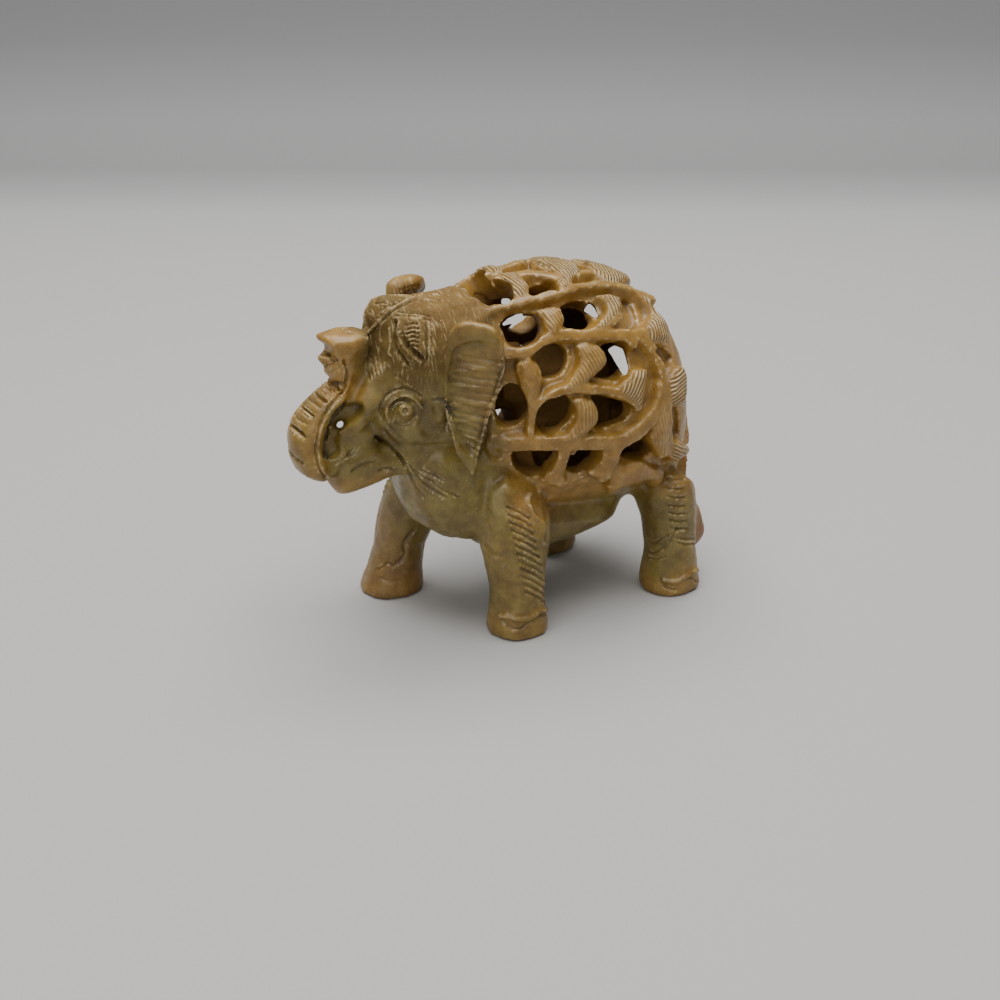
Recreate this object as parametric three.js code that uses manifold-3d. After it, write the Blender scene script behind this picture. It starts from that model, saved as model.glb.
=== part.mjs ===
// A small elephant carved from one block of soapstone. Its trunk is raised, and its hollowed body is pierced
// by vines and leaves, with a calf left standing inside. Millimetres, +X forward, +Y its left, +Z up.
import * as THREE from "three";
import { mergeVertices } from "three/addons/utils/BufferGeometryUtils.js";
import Module from "manifold-3d";

const SECTION_POWER = 2.2; // superellipse power of the rounded sections, where 2 is an ellipse
const WALL = 3.4; // thickness of the pierced wall
const CAVITY = { floor: 22, neck: 7, middle: -13 }; // height of its floor, its front end and its middle
const VINE_RADIUS = 1.15;
const BORDER_RADIUS = 1.3;
const LEAF_RISE = 0.7; // how far a leaf stands off the wall
const EYE = { x: 21, y: 7, z: 42.8, radius: 1.5 }; // the left eye
const EAR = { root: [15, 9], turn: 143, thickness: 1.8, rim: 0.8, face: 0.76, flutes: 7, flute: 0.5 };
const MOUTH = { x: 26.5, z: 38, size: [12, 4.4, 9] }; // the stone left between lip and jaw
const LIP_BORE = { x: 29.4, z: 39.4, radius: 0.9 }; // a fine hole drilled through behind the trunk
const TRUNK_NOTCHES = [[32.4, 52.9, 1.5], [32.2, 49.6, 0.8]]; // cuts that part the trunk's lips: x, z, size
const SAWN_OFF = 3; // how far the legs run past their soles before they are sawn level

// Body sections from rump to neck: x, height of the middle, half width, half height.
const TORSO = [
  [-36.4, 31, 0, 0],
  [-35.9, 31, 6, 8],
  [-34, 32, 11, 14],
  [-30.5, 33.5, 14.6, 18],
  [-25, 35.5, 17, 20.5],
  [-18, 37, 18, 21.8],
  [-10, 37.8, 17.6, 22.5],
  [-2, 38.3, 16, 22],
  [4, 40, 13, 19],
  [9, 42, 9, 14],
  [12, 42, 0, 0],
];
const HEAD = [
  [-5, 45, 0, 0],
  [-3, 45, 7, 10],
  [3, 46, 9.8, 13],
  [9, 46.3, 10.4, 12.6],
  [15, 47, 9.9, 11.8],
  [19.5, 48.6, 8.4, 10.2],
  [22.8, 50, 5.4, 7.6],
  [24.4, 50.5, 0, 0],
];
const JAW = [
  [4, 38, 0, 0],
  [8, 37.5, 8, 6],
  [16, 34.8, 7, 5],
  [22, 33, 5.6, 4.2],
  [27, 31.6, 4.6, 4],
  [31, 30.8, 3.8, 3.6],
  [33, 30.8, 0, 0],
];
// The cheeks and the upper lip, down to the corners of the mouth.
const CHEEKS = [
  [6, 43, 0, 0],
  [8, 42, 9.4, 10],
  [15, 41, 8.9, 9],
  [20, 40.8, 7.6, 7.6],
  [24, 41.5, 5.9, 5.4],
  [26.4, 42.5, 0, 0],
];
// The trunk's middle line: x, z, half width, half thickness. It leaves the face, turns up in front of the jaw
// and comes back to the forehead.
const TRUNK = [
  [13, 50, 0, 0],
  [18, 48, 7.4, 7],
  [23.5, 45.5, 6, 5],
  [27.3, 43, 5, 3.4],
  [30, 40, 4.4, 2.2],
  [31.4, 36.8, 4.2, 2],
  [32.4, 33, 4.3, 2.2],
  [34.6, 33, 4.4, 2.2],
  [35.8, 36.3, 4.4, 2.1],
  [35.5, 39.7, 4.2, 2.1],
  [33.7, 42.5, 4, 2.1],
  [31, 44.4, 3.8, 2.1],
  [29.2, 46.3, 3.6, 2.6],
  [28.4, 49, 3.7, 3.5],
  [28.2, 52, 3.7, 3.9],
  [28.3, 54.9, 3.4, 3.9],
  [28.3, 55.3, 0, 0],
];
// Level sections: x, y, z, half length, half width.
const CHEST = [
  [6, 0, 16, 0, 0],
  [7, 0, 16.6, 6, 8],
  [8.4, 0, 20, 9.4, 11.4],
  [10.4, 0, 27, 9, 10.5],
  [10.6, 0, 35, 8.6, 8.6],
  [9, 0, 44, 0, 0],
];
// The belly's keel between the legs: x, height of the middle, half width, half height.
const BELLY = [
  [-29, 23, 0, 0],
  [-27, 22.6, 8, 7.6],
  [-20, 20.8, 10.4, 8],
  [-11, 18.4, 10.6, 8],
  [-3, 17.8, 10.2, 7.8],
  [4, 19, 8, 7],
  [7, 20, 0, 0],
];
const LEGS = {
  leftFore: [
    [3.3, 12.5, 1, 5.4, 5.4],
    [3.3, 12.4, 5, 4.9, 4.9],
    [3.2, 12.2, 11, 5, 4.9],
    [3.6, 11, 18, 6.4, 5.8],
    [3, 9.2, 25, 6.2, 5.4],
    [3, 7, 32, 5, 4.4],
  ],
  rightFore: [
    [15.6, -12.4, 1, 5.9, 5.7],
    [14.6, -12.4, 5, 5, 4.9],
    [13.2, -12.1, 11, 4.9, 4.8],
    [11, -10.6, 18, 6.4, 6],
    [8.2, -8.6, 26, 6.2, 5.4],
    [6, -5.4, 33, 5.4, 4.4],
  ],
  leftHind: [
    [-29.3, 12.6, 1, 5.7, 5.5],
    [-29.3, 12.4, 5, 5, 4.9],
    [-29.4, 12, 11, 4.8, 4.8],
    [-28.6, 11, 18, 5.8, 5.5],
    [-27, 9, 26, 6.4, 6],
    [-26, 6, 33, 6, 5],
  ],
  rightHind: [
    [-18.5, -12.6, 1, 5.6, 5.4],
    [-18.8, -12.4, 5, 5, 4.9],
    [-20, -12, 11, 4.8, 4.8],
    [-22.5, -11, 18, 6, 5.5],
    [-25, -9, 26, 6.6, 6],
    [-26, -6, 33, 6, 5],
  ],
};
// The tail lies along the left hind leg: x, y, z, half length, half width.
const TAIL = [
  [-33, 1, 42, 0, 0],
  [-34.2, 2.5, 38, 1.6, 1.6],
  [-35.3, 6, 29, 1.5, 1.5],
  [-34.6, 10, 20, 1.4, 1.5],
  [-35.2, 11.6, 13, 1.6, 1.7],
  [-35.6, 12, 8, 1.8, 1.8],
  [-35.2, 12, 5, 0, 0],
];

// The left wall's pattern; the right wall has it mirrored. A place on the wall is an x and an angle round the
// body: 0 degrees is the side and 90 the spine. Openings: x, angle, length, height, slant in degrees.
const OPENINGS = [
  [3.3, 74, 6.2, 4.8, 10],
  [-5.4, 74, 5.4, 4.4, 0],
  [-15.4, 75, 5.8, 4.2, 0],
  [1.6, 45, 5.8, 5, -15],
  [-9, 50, 6.6, 4.8, 0],
  [-19.5, 52, 5.4, 5, 10],
  [-2, 27, 6.4, 5.4, 0],
  [-13.3, 26, 6.6, 6, 30],
  [5, 3, 5, 7, 0],
  [-1.9, 3, 6, 6.2, 0],
  [-12.3, 3, 7.4, 5.8, 10],
  [0.8, -19, 6.4, 4.6, 15],
  [-6.9, -17, 5.4, 4.6, 0],
  [-16.5, -15, 5.4, 5, -25],
  [-24.5, 28, 4, 5.4, 20],
  [-28.5, 47, 4.4, 5, 0],
  [-26.6, 0, 3.8, 6.4, 0],
  [-32.6, 18, 4, 5.4, 0],
];
// Vines: places that the stem passes through.
const VINES = [
  [[7, 60], [-0.8, 59], [-9.6, 64], [-18, 65], [-26, 63], [-28.5, 30]],
  [[6, 30], [2.5, 28], [-5.3, 38], [-15, 40], [-22, 40]],
  [[1.8, -8], [1.5, 9], [-5, 16], [-13, 14], [-19, 11]],
  [[7.5, -14], [-1, -8], [-9.2, -7], [-16, 1], [-20.8, 16], [-19.5, 30], [-16, 40]],
  [[-23.4, 36], [-23.6, 14], [-20.5, -5], [-13.6, -24]],
];
// The ragged lower border of the carving, from behind the ear over the thigh.
const BORDER = [
  [7.4, -18], [5, -36], [0, -40], [-8, -30], [-14.6, -23], [-19, -27], [-23, -38], [-27, -30], [-31, -18],
];
// Leaves: x and angle of the middle, length, width, slant of the tip in degrees.
const LEAVES = [
  [-0.8, 74, 6.4, 4.6, 150],
  [-10.4, 76, 6.4, 4.6, 150],
  [-20.5, 75, 7.4, 4.6, 165],
  [-3.4, 47, 6.6, 4.4, 125],
  [-14.6, 51, 6.4, 4.4, 130],
  [-24.3, 46, 6.8, 5, 150],
  [0.9, 21, 6, 3.6, 100],
  [-7.8, 26, 7, 5, 140],
  [-17.2, 13, 6.4, 4.6, 110],
  [-7, 3, 6.4, 4.6, 120],
  [-26.6, 14, 6.4, 4.4, 110],
  [-29, -14, 6, 4.4, 120],
];

const wasm = await Module();
wasm.setup();
const at = (x, y, z) => new THREE.Vector3(x, y, z);
const radians = THREE.MathUtils.degToRad;
const signedPower = (value, exponent) => Math.sign(value) * Math.abs(value) ** exponent;

// A closed geometry as a solid, with its faces turned outwards.
function solidOf(geometry) {
  const bare = geometry.clone();
  bare.deleteAttribute("normal");
  bare.deleteAttribute("uv");
  const merged = mergeVertices(bare, 1e-4);
  const corners = new Uint32Array(merged.index.array);
  const vertProperties = merged.attributes.position.array;
  const solid = new wasm.Manifold(new wasm.Mesh({ numProp: 3, vertProperties, triVerts: corners }));
  if (solid.volume() > 0) return solid;
  for (let i = 0; i < corners.length; i += 3) corners.subarray(i, i + 2).reverse();
  return new wasm.Manifold(new wasm.Mesh({ numProp: 3, vertProperties, triVerts: corners }));
}

// A block between two limits on each axis.
function boxed([x0, x1], [y0, y1], [z0, z1]) {
  const geometry = new THREE.BoxGeometry(x1 - x0, y1 - y0, z1 - z0);
  return solidOf(geometry.translate((x0 + x1) / 2, (y0 + y1) / 2, (z0 + z1) / 2));
}

// Stations of a form that runs forward, and of one that runs down.
const upright = ([x, z, width, height]) =>
  ({ centre: at(x, 0, z), across: at(0, width, 0), up: at(0, 0, height) });
const level = ([x, y, z, length, width]) =>
  ({ centre: at(x, y, z), across: at(length, 0, 0), up: at(0, width, 0) });

// The smooth skin through stations, each a centre and two half axes.
function skinThrough(stations) {
  const through = (key) => new THREE.CatmullRomCurve3(stations.map((s) => s[key]), false, "catmullrom");
  const [centres, acrosses, ups] = ["centre", "across", "up"].map(through);
  return (along, angle) => {
    const point = centres.getPoint(along);
    if (along <= 0 || along >= 1) return point;
    point.addScaledVector(acrosses.getPoint(along), signedPower(Math.cos(angle), 2 / SECTION_POWER));
    return point.addScaledVector(ups.getPoint(along), signedPower(Math.sin(angle), 2 / SECTION_POWER));
  };
}

// A closed body under that skin: a sphere's rows of vertices are moved onto it.
function loft(stations, sides, steps) {
  const skin = skinThrough(stations);
  const geometry = new THREE.SphereGeometry(1, sides, steps);
  const position = geometry.attributes.position;
  for (let i = 0; i < position.count; i += 1) {
    const row = Math.floor(i / (sides + 1));
    const point = skin(row / steps, (2 * Math.PI * (i % (sides + 1))) / sides);
    position.setXYZ(i, point.x, point.y, point.z);
  }
  return solidOf(geometry);
}

// Stations that stay square to a middle line in the plane y = 0.
function bentStations(line) {
  const path = new THREE.CatmullRomCurve3(line.map(([x, z]) => at(x, 0, z)), false, "catmullrom");
  return line.map(([x, z, width, thickness], i) => {
    const tangent = path.getTangent(i / (line.length - 1));
    const up = at(-tangent.z, 0, tangent.x).multiplyScalar(thickness);
    return { centre: at(x, 0, z), across: at(0, width, 0), up };
  });
}

const torsoSkin = skinThrough(TORSO.map(upright));

// A point of the torso's skin at an x and an angle, found by halving, with its outward normal.
function place(x, degrees) {
  let [low, high] = [0, 1];
  for (let i = 0; i < 40; i += 1) {
    const middle = (low + high) / 2;
    if (torsoSkin(middle, 0).x < x) low = middle;
    else high = middle;
  }
  const angle = radians(degrees);
  const step = 0.01;
  const point = torsoSkin(low, angle);
  const forward = torsoSkin(low + step, angle).sub(torsoSkin(low - step, angle)).normalize();
  const round = torsoSkin(low, angle + step).sub(torsoSkin(low, angle - step)).normalize();
  const normal = forward.clone().cross(round).normalize();
  if (normal.y * Math.cos(angle) + normal.z * Math.sin(angle) < 0) normal.negate();
  return { point, forward, normal };
}

// A flat outline extruded on the wall at a place: its own x runs forward, its y up the wall, its z outwards.
function onWall(x, degrees, outline, from, to) {
  const { point, forward, normal } = place(x, degrees);
  const up = normal.clone().cross(forward).normalize();
  const ahead = up.clone().cross(normal);
  const upIsUp = up.z * Math.cos(radians(degrees)) - up.y * Math.sin(radians(degrees)) > 0;
  if (!upIsUp) {
    up.negate();
    ahead.copy(normal.clone().cross(up)).negate();
  }
  const geometry = new THREE.ExtrudeGeometry(outline, { depth: to - from, bevelEnabled: false });
  geometry.translate(0, 0, from);
  geometry.applyMatrix4(new THREE.Matrix4().makeBasis(ahead, up, normal).setPosition(point));
  return solidOf(geometry);
}

function ovalOutline(length, height, slant, corners) {
  const points = Array.from({ length: corners }, (_, i) => {
    const angle = (2 * Math.PI * i) / corners;
    const point = new THREE.Vector2((length / 2) * Math.cos(angle), (height / 2) * Math.sin(angle));
    return point.rotateAround(new THREE.Vector2(), radians(slant));
  });
  return new THREE.Shape(points);
}

// A leaf is narrow at its stalk and broad near its cut, hatched end.
function leafOutline(length, width, slant) {
  const profile = [[-0.5, 0], [0, 0.44], [0.42, 0.42], [0.5, -0.2], [0, -0.42]];
  const points = profile.map(([u, v]) => new THREE.Vector2(u * length, v * width));
  return new THREE.Shape(points.map((p) => p.rotateAround(new THREE.Vector2(), radians(slant))));
}

// A round stem along places on the wall, sunk by half its thickness.
function vine(places, radius) {
  const path = new THREE.CatmullRomCurve3(places.map(([x, degrees]) => place(x, degrees).point));
  const section = ovalOutline(2 * radius, 2 * radius, 0, 4);
  const steps = 2 * places.length;
  return solidOf(new THREE.ExtrudeGeometry(section, { steps, extrudePath: path, bevelEnabled: false }));
}

const mirrored = (solid) => solid.mirror([0, 1, 0]);
const joined = (solids) => solids.reduce((sum, solid) => sum.add(solid));

// The torso with the head that grows out of it, hollowed and cut through, with the carving raised on it. The
// right wall, which has the openings mirrored, keeps only the upper vines and leaves.
function piercedBody() {
  const share = 1 - (2 * WALL) / 36;
  const inner = TORSO.map(([x, z, width, height]) =>
    [CAVITY.middle + (x - CAVITY.middle) * share ** 0.8, z, width * share, height * share]);
  const under = boxed([-50, 50], [-30, 30], [0, CAVITY.floor]);
  const ahead = boxed([CAVITY.neck, 50], [-30, 30], [0, 80]);
  const cavity = loft(inner.map(upright), 12, 10).subtract(under).subtract(ahead);
  const openings = joined(OPENINGS.map(([x, angle, length, height, slant]) =>
    onWall(x, angle, ovalOutline(length, height, slant, 7), -2 * WALL, WALL)));
  const leaves = LEAVES.map(([x, angle, length, width, slant]) =>
    onWall(x, angle, leafOutline(length, width, slant), -LEAF_RISE, LEAF_RISE));
  const vines = VINES.map((places) => vine(places, VINE_RADIUS));
  const carving = joined([...vines, ...leaves, vine(BORDER, BORDER_RADIUS)]);
  const upperCarving = joined([...vines.slice(0, 2), ...leaves.slice(0, 9)]);
  const barrel = loft(TORSO.map(upright), 20, 18).add(loft(BELLY.map(upright), 12, 8));
  const hollowed = barrel.add(head()).subtract(cavity);
  const pierced = hollowed.subtract(openings).subtract(mirrored(openings));
  return pierced.add(carving).add(mirrored(upperCarving));
}

// The calf stands in the hollow, facing forward, with its trunk down between its forelegs.
function calf() {
  const body = [
    [-24, 37, 0, 0], [-22.5, 37, 5, 7], [-17, 38, 6.6, 9], [-9, 38.4, 6.4, 9], [-3, 38.5, 4.6, 7], [-1, 39, 0, 0],
  ];
  const face = [[-6, 42, 0, 0], [-4, 42, 4.4, 6], [0.5, 42.4, 4.6, 6.2], [3.6, 41.6, 3, 4], [4.6, 41.4, 0, 0]];
  const trunk = [
    [3, 0, 43, 0, 0], [3.2, 0, 41, 2, 2], [4.2, 0, 34, 1.5, 1.5], [4, 0, 27, 1.2, 1.2], [4, 0, 26, 0, 0],
  ];
  const legHeight = 14;
  const limbs = [[-19, 3.6], [-19, -3.6], [-6, 3.4], [-6, -3.4]].map(([x, y]) => {
    const limb = new THREE.CylinderGeometry(2.4, 2.8, legHeight, 6).rotateX(Math.PI / 2);
    return solidOf(limb.translate(x, y, CAVITY.floor - 1 + legHeight / 2));
  });
  const flap = solidOf(new THREE.CylinderGeometry(4.2, 2.6, 1.2, 6).translate(-1.5, 4.6, 42));
  const core = [loft(body.map(upright), 10, 6), loft(face.map(upright), 8, 4), loft(trunk.map(level), 6, 5)];
  return joined([...core, ...limbs, flap, mirrored(flap)]);
}

function legs() {
  return joined(Object.values(LEGS).map((sections) => {
    const [x, y, , length, width] = sections[0];
    const [topX, topY, topZ, , topWidth] = sections[sections.length - 1];
    const sole = [x, y, -SAWN_OFF, length, width];
    const run = [[x, y, -SAWN_OFF, 0, 0], sole, ...sections, [topX, topY, topZ + topWidth, 0, 0]];
    return loft(run.map(level), 12, 9);
  }));
}

// The left ear is made flat, with its outline in x and y, and then stood on its edge and turned outwards.
function ear() {
  const outline = [
    [0, 44], [0.2, 52], [0.8, 55.7], [2.2, 57.2], [4.3, 57.8], [8.2, 57], [9.9, 54.2], [9.8, 49.6],
    [8.5, 45.2], [6.9, 40.6], [5.7, 36], [4.7, 31], [2, 35], [0.8, 40],
  ];
  const middle = new THREE.Vector2(4.6, 43.6);
  const plate = (share, from, to) => {
    const scaled = ([x, y]) => new THREE.Vector2(x, y).sub(middle).multiplyScalar(share).add(middle);
    const shape = new THREE.Shape(outline.map(scaled));
    const geometry = new THREE.ExtrudeGeometry(shape, { depth: to - from, bevelEnabled: false });
    return solidOf(geometry.translate(0, 0, from));
  };
  const face = EAR.thickness - EAR.rim;
  const recess = plate(EAR.face, face, EAR.thickness + 1);
  const [fluteLength, fluteSpread, fluteFan] = [12, 18, 0.5];
  const flutes = joined(Array.from({ length: EAR.flutes }, (_, i) => {
    const share = i / (EAR.flutes - 1) - 0.5;
    const ridge = new THREE.CylinderGeometry(EAR.flute, EAR.flute, fluteLength, 4).rotateZ(Math.PI / 2);
    return solidOf(ridge.rotateZ(fluteFan * share).translate(middle.x, middle.y + fluteSpread * share, face));
  }));
  const whole = plate(1, 0, EAR.thickness).subtract(recess).add(flutes.intersect(recess));
  const upright = new THREE.Matrix4().makeRotationX(Math.PI / 2);
  const standing = new THREE.Matrix4().makeRotationZ(radians(EAR.turn)).multiply(upright);
  return whole.transform(standing.setPosition(...EAR.root, 0).toArray());
}

function head() {
  const skull = loft(HEAD.map(upright), 16, 9).add(loft(CHEEKS.map(upright), 12, 6));
  const jaw = loft(JAW.map(upright), 10, 6);
  const trunk = loft(bentStations(TRUNK), 8, 26);
  const mouth = solidOf(new THREE.BoxGeometry(...MOUTH.size).translate(MOUTH.x, 0, MOUTH.z));
  const eye = solidOf(new THREE.SphereGeometry(EYE.radius, 8, 5).translate(EYE.x, EYE.y, EYE.z));
  const across = (radius, sides, x, z) =>
    solidOf(new THREE.CylinderGeometry(radius, radius, 12, sides).translate(x, 0, z));
  const notches = TRUNK_NOTCHES.map(([x, z, size]) => across(size, 4, x, z));
  const bore = across(LIP_BORE.radius, 8, LIP_BORE.x, LIP_BORE.z);
  const whole = joined([skull, jaw, trunk, mouth, eye, mirrored(eye)]);
  return whole.subtract(bore).subtract(joined(notches));
}

const tail = loft(TAIL.map(level), 8, 10);
const chest = loft(CHEST.map(level), 12, 8);
const belowSoles = boxed([-50, 50], [-50, 50], [-20, 0]);
const leftEar = ear();
const parts = [piercedBody(), calf(), legs(), tail, chest, leftEar, mirrored(leftEar)];
const stone = joined(parts).subtract(belowSoles);

function meshOf(solid) {
  const { vertProperties, triVerts } = solid.getMesh();
  const geometry = new THREE.BufferGeometry();
  geometry.setAttribute("position", new THREE.BufferAttribute(new Float32Array(vertProperties), 3));
  geometry.setIndex(new THREE.BufferAttribute(new Uint32Array(triVerts), 1));
  geometry.computeVertexNormals();
  return geometry;
}

const soapstone = new THREE.MeshStandardMaterial({ color: 0x9a7b3c, roughness: 0.45, metalness: 0 });
const elephant = new THREE.Mesh(meshOf(stone), soapstone);
elephant.name = "elephant";
const sculpture = new THREE.Group();
sculpture.add(elephant);
export default sculpture;
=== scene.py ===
import math

import bmesh
import bpy
import numpy as np
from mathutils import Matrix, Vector
from mathutils.bvhtree import BVHTree


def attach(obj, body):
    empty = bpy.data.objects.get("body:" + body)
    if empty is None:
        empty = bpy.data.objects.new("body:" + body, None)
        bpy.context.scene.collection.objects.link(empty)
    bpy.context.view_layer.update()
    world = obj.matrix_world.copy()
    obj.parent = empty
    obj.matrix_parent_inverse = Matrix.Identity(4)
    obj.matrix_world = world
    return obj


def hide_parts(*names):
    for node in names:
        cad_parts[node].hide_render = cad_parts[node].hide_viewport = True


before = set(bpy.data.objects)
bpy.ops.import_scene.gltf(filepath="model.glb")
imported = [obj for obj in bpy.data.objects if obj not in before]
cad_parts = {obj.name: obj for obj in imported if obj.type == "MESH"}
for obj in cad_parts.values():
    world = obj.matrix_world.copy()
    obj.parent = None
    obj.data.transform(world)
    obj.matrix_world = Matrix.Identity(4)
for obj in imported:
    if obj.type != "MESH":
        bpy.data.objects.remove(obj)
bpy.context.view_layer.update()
MM = 0.001

# The stone. The whole elephant is one block of soapstone, sawn to height, drilled through and cut with a knife.
# It starts from the part's own solid. The body's rounded wall is laid over it whole, to be cut afresh.
ROUGH_VOXEL, CUTTER_VOXEL, FINE_VOXEL = 0.36, 0.3, 0.27
WALL = 3.4
# The body's sections from rump to neck: x, height of the middle, half width, half height.
BODY = [
    (-36.4, 31, 0, 0), (-35.9, 31, 6, 8), (-34, 32, 11, 14), (-30.5, 33.5, 14.6, 18), (-25, 35.5, 17, 20.5),
    (-18, 37, 18, 21.8), (-10, 37.8, 17.6, 22.5), (-2, 38.3, 16, 22), (4, 40, 13, 19), (9, 42, 9, 14), (12, 42, 0, 0),
]
ROUNDNESS = 2.2
# The round belly under it, as the lower half of a form whose flat top lies level with the floor of the hollow.
BELLY_TOP = 22.0
BELLY = [(x, BELLY_TOP, half_width, depth) for x, half_width, depth in (
    (-34.5, 0, 0), (-33, 9, 3.6), (-31, 11.4, 5.4), (-28, 12.8, 7.2), (-25, 13, 8.4), (-20, 13, 9.5), (-11, 13.2, 11.6),
    (-3, 12.8, 12), (4, 11, 10.6), (8, 6, 6), (9, 0, 0))]


def through(points, steps):
    """Points on the smooth curve through the given points."""
    points = np.array(points, float)
    ends = np.array([2 * points[0] - points[1], *points, 2 * points[-1] - points[-2]])
    along = np.linspace(0, len(points) - 1, steps)
    first = np.minimum(along.astype(int), len(points) - 2)
    t = (along - first)[:, None]
    p0, p1, p2, p3 = (ends[first + k] for k in range(4))
    return 0.5 * (2 * p1 + (p2 - p0) * t + (2 * p0 - 5 * p1 + 4 * p2 - p3) * t ** 2
                  + (3 * p1 - p0 - 3 * p2 + p3) * t ** 3)


def closed_sections(rows):
    """Many sections on the smooth form through a few, closed to a point at both ends."""
    sections = through(rows, 800)
    sections[[0, -1], 2:] = 0
    return sections


body_sections = closed_sections(BODY)


def new_piece(name, form):
    """Makes a form into a mesh object and ends the form."""
    mesh = bpy.data.meshes.new(name)
    form.to_mesh(mesh)
    form.free()
    piece = bpy.data.objects.new(name, mesh)
    bpy.context.scene.collection.objects.link(piece)
    return piece


def apply_modifiers(piece):
    evaluated = piece.evaluated_get(bpy.context.evaluated_depsgraph_get())
    finished = bpy.data.meshes.new_from_object(evaluated)
    old = piece.data
    piece.modifiers.clear()
    piece.data = finished
    bpy.data.meshes.remove(old)


def even_out(piece, voxel):
    """Joins everything in the piece into one skin of even faces."""
    evener = piece.modifiers.new("even", "REMESH")
    evener.mode = "VOXEL"
    evener.voxel_size = voxel * MM
    apply_modifiers(piece)


def swept_form(form, sections):
    """Adds a closed form through sections: a sphere whose points are moved onto its skin. Gives its faces."""
    ball = bmesh.ops.create_uvsphere(form, u_segments=96, v_segments=72, radius=1)
    power = 2 / ROUNDNESS
    for vert in ball["verts"]:
        share = math.acos(max(-1, min(1, vert.co.z))) / math.pi
        row = sections[round(share * (len(sections) - 1))]
        turn = math.atan2(vert.co.y, vert.co.x)
        across = math.copysign(abs(math.cos(turn)) ** power, math.cos(turn))
        up = math.copysign(abs(math.sin(turn)) ** power, math.sin(turn))
        vert.co = Vector((row[0], row[2] * across, row[1] + row[3] * up)) * MM
    faces = list(dict.fromkeys(face for vert in ball["verts"] for face in vert.link_faces))
    bmesh.ops.recalc_face_normals(form, faces=faces)
    return faces


# The marking out. A carver marks the block from one good side: all marks below are seen from this viewpoint, and
# are given in quarter pixels of the view, which is 1000 pixels wide, from a corner left above the stone.
AIM = np.array([3.0, 6.0, 22.0])
EYE_DISTANCE = 260.0
TURN, RISE = math.radians(150), math.radians(25)
LENS_PIXELS = 1500.0
BACK = np.array([math.sin(TURN) * math.cos(RISE), -math.cos(TURN) * math.cos(RISE), math.sin(RISE)])
RIGHT = np.cross(-BACK, (0, 0, 1)) / np.linalg.norm(np.cross(-BACK, (0, 0, 1)))
UP = np.cross(RIGHT, -BACK)
EYE = AIM + EYE_DISTANCE * BACK
MARKS_A_PIXEL = 4
MARK_SCALE = LENS_PIXELS * MARKS_A_PIXEL
MARK_MIDDLE = (920, 1020)
MARKS_PER_MM = MARK_SCALE / EYE_DISTANCE


def sight_lines(marks):
    """Directions from the viewpoint through marks."""
    marks = np.array(marks, float)
    lines = (-BACK + RIGHT * (marks[:, :1] - MARK_MIDDLE[0]) / MARK_SCALE
             - UP * (marks[:, 1:] - MARK_MIDDLE[1]) / MARK_SCALE)
    return lines / np.linalg.norm(lines, axis=1)[:, None]


def marks_of(places):
    """Where places are seen, as marks."""
    run = places - EYE
    depth = -(run @ BACK)
    return np.stack([MARK_MIDDLE[0] + MARK_SCALE * (run @ RIGHT) / depth,
                     MARK_MIDDLE[1] - MARK_SCALE * (run @ UP) / depth], axis=1)


def read_skin(piece):
    """Places of the piece's vertices in millimetres and the directions they face."""
    count = len(piece.data.vertices)
    places = np.empty(count * 3)
    facing = np.empty(count * 3)
    piece.data.vertices.foreach_get("co", places)
    piece.data.vertex_normals.foreach_get("vector", facing)
    return places.reshape(-1, 3) / MM, facing.reshape(-1, 3)


def write_skin(piece, places):
    piece.data.vertices.foreach_set("co", (places * MM).ravel())
    piece.data.update()


def touch(piece):
    """A function from marks to the places where their sight lines touch the piece."""
    tree = BVHTree.FromObject(piece, bpy.context.evaluated_depsgraph_get())

    def touched(marks):
        hits = [tree.ray_cast(Vector(EYE * MM), Vector(line))[0] for line in sight_lines(marks)]
        found = [np.array(hit) / MM for hit in hits if hit is not None]
        return np.array(found)
    return touched


def ramp(values, start, end):
    """0 before start, 1 after end and a smooth turn between them."""
    share = np.clip((values - start) / (end - start), 0, 1)
    return share * share * (3 - 2 * share)


def distance_to_line(places, line):
    """Shortest distance from each place to a line of points."""
    nearest = np.full(len(places), np.inf)
    for start, end in zip(line[:-1], line[1:]):
        run = end - start
        share = np.clip((places - start) @ run / max(run @ run, 1e-12), 0, 1)
        nearest = np.minimum(nearest, np.linalg.norm(places - start - share[:, None] * run, axis=1))
    return nearest


def depth_inside(flat, outline):
    """Distance in from a closed flat outline, negative outside it."""
    u, v = flat[:, 0], flat[:, 1]
    corners = np.array(outline, float)
    nearest = np.full(len(u), np.inf)
    within = np.zeros(len(u), bool)
    for (x0, y0), (x1, y1) in zip(corners, np.roll(corners, -1, axis=0)):
        run = max((x1 - x0) ** 2 + (y1 - y0) ** 2, 1e-12)
        share = np.clip(((u - x0) * (x1 - x0) + (v - y0) * (y1 - y0)) / run, 0, 1)
        nearest = np.minimum(nearest, np.hypot(u - x0 - share * (x1 - x0), v - y0 - share * (y1 - y0)))
        rise = y1 - y0 if y1 != y0 else 1e-9
        within ^= ((y0 > v) != (y1 > v)) & (u < (x1 - x0) * (v - y0) / rise + x0)
    return np.where(within, nearest, -nearest)


def rounded(outline, steps=4):
    """A closed outline of marks with its corners eased."""
    ring = np.array([outline[-1], *outline, outline[0], outline[1]], float)
    curve = through(ring, (len(ring) - 1) * steps + 1)
    return curve[steps:-2 * steps]


MIRROR = np.array([1.0, -1.0, 1.0])

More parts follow.
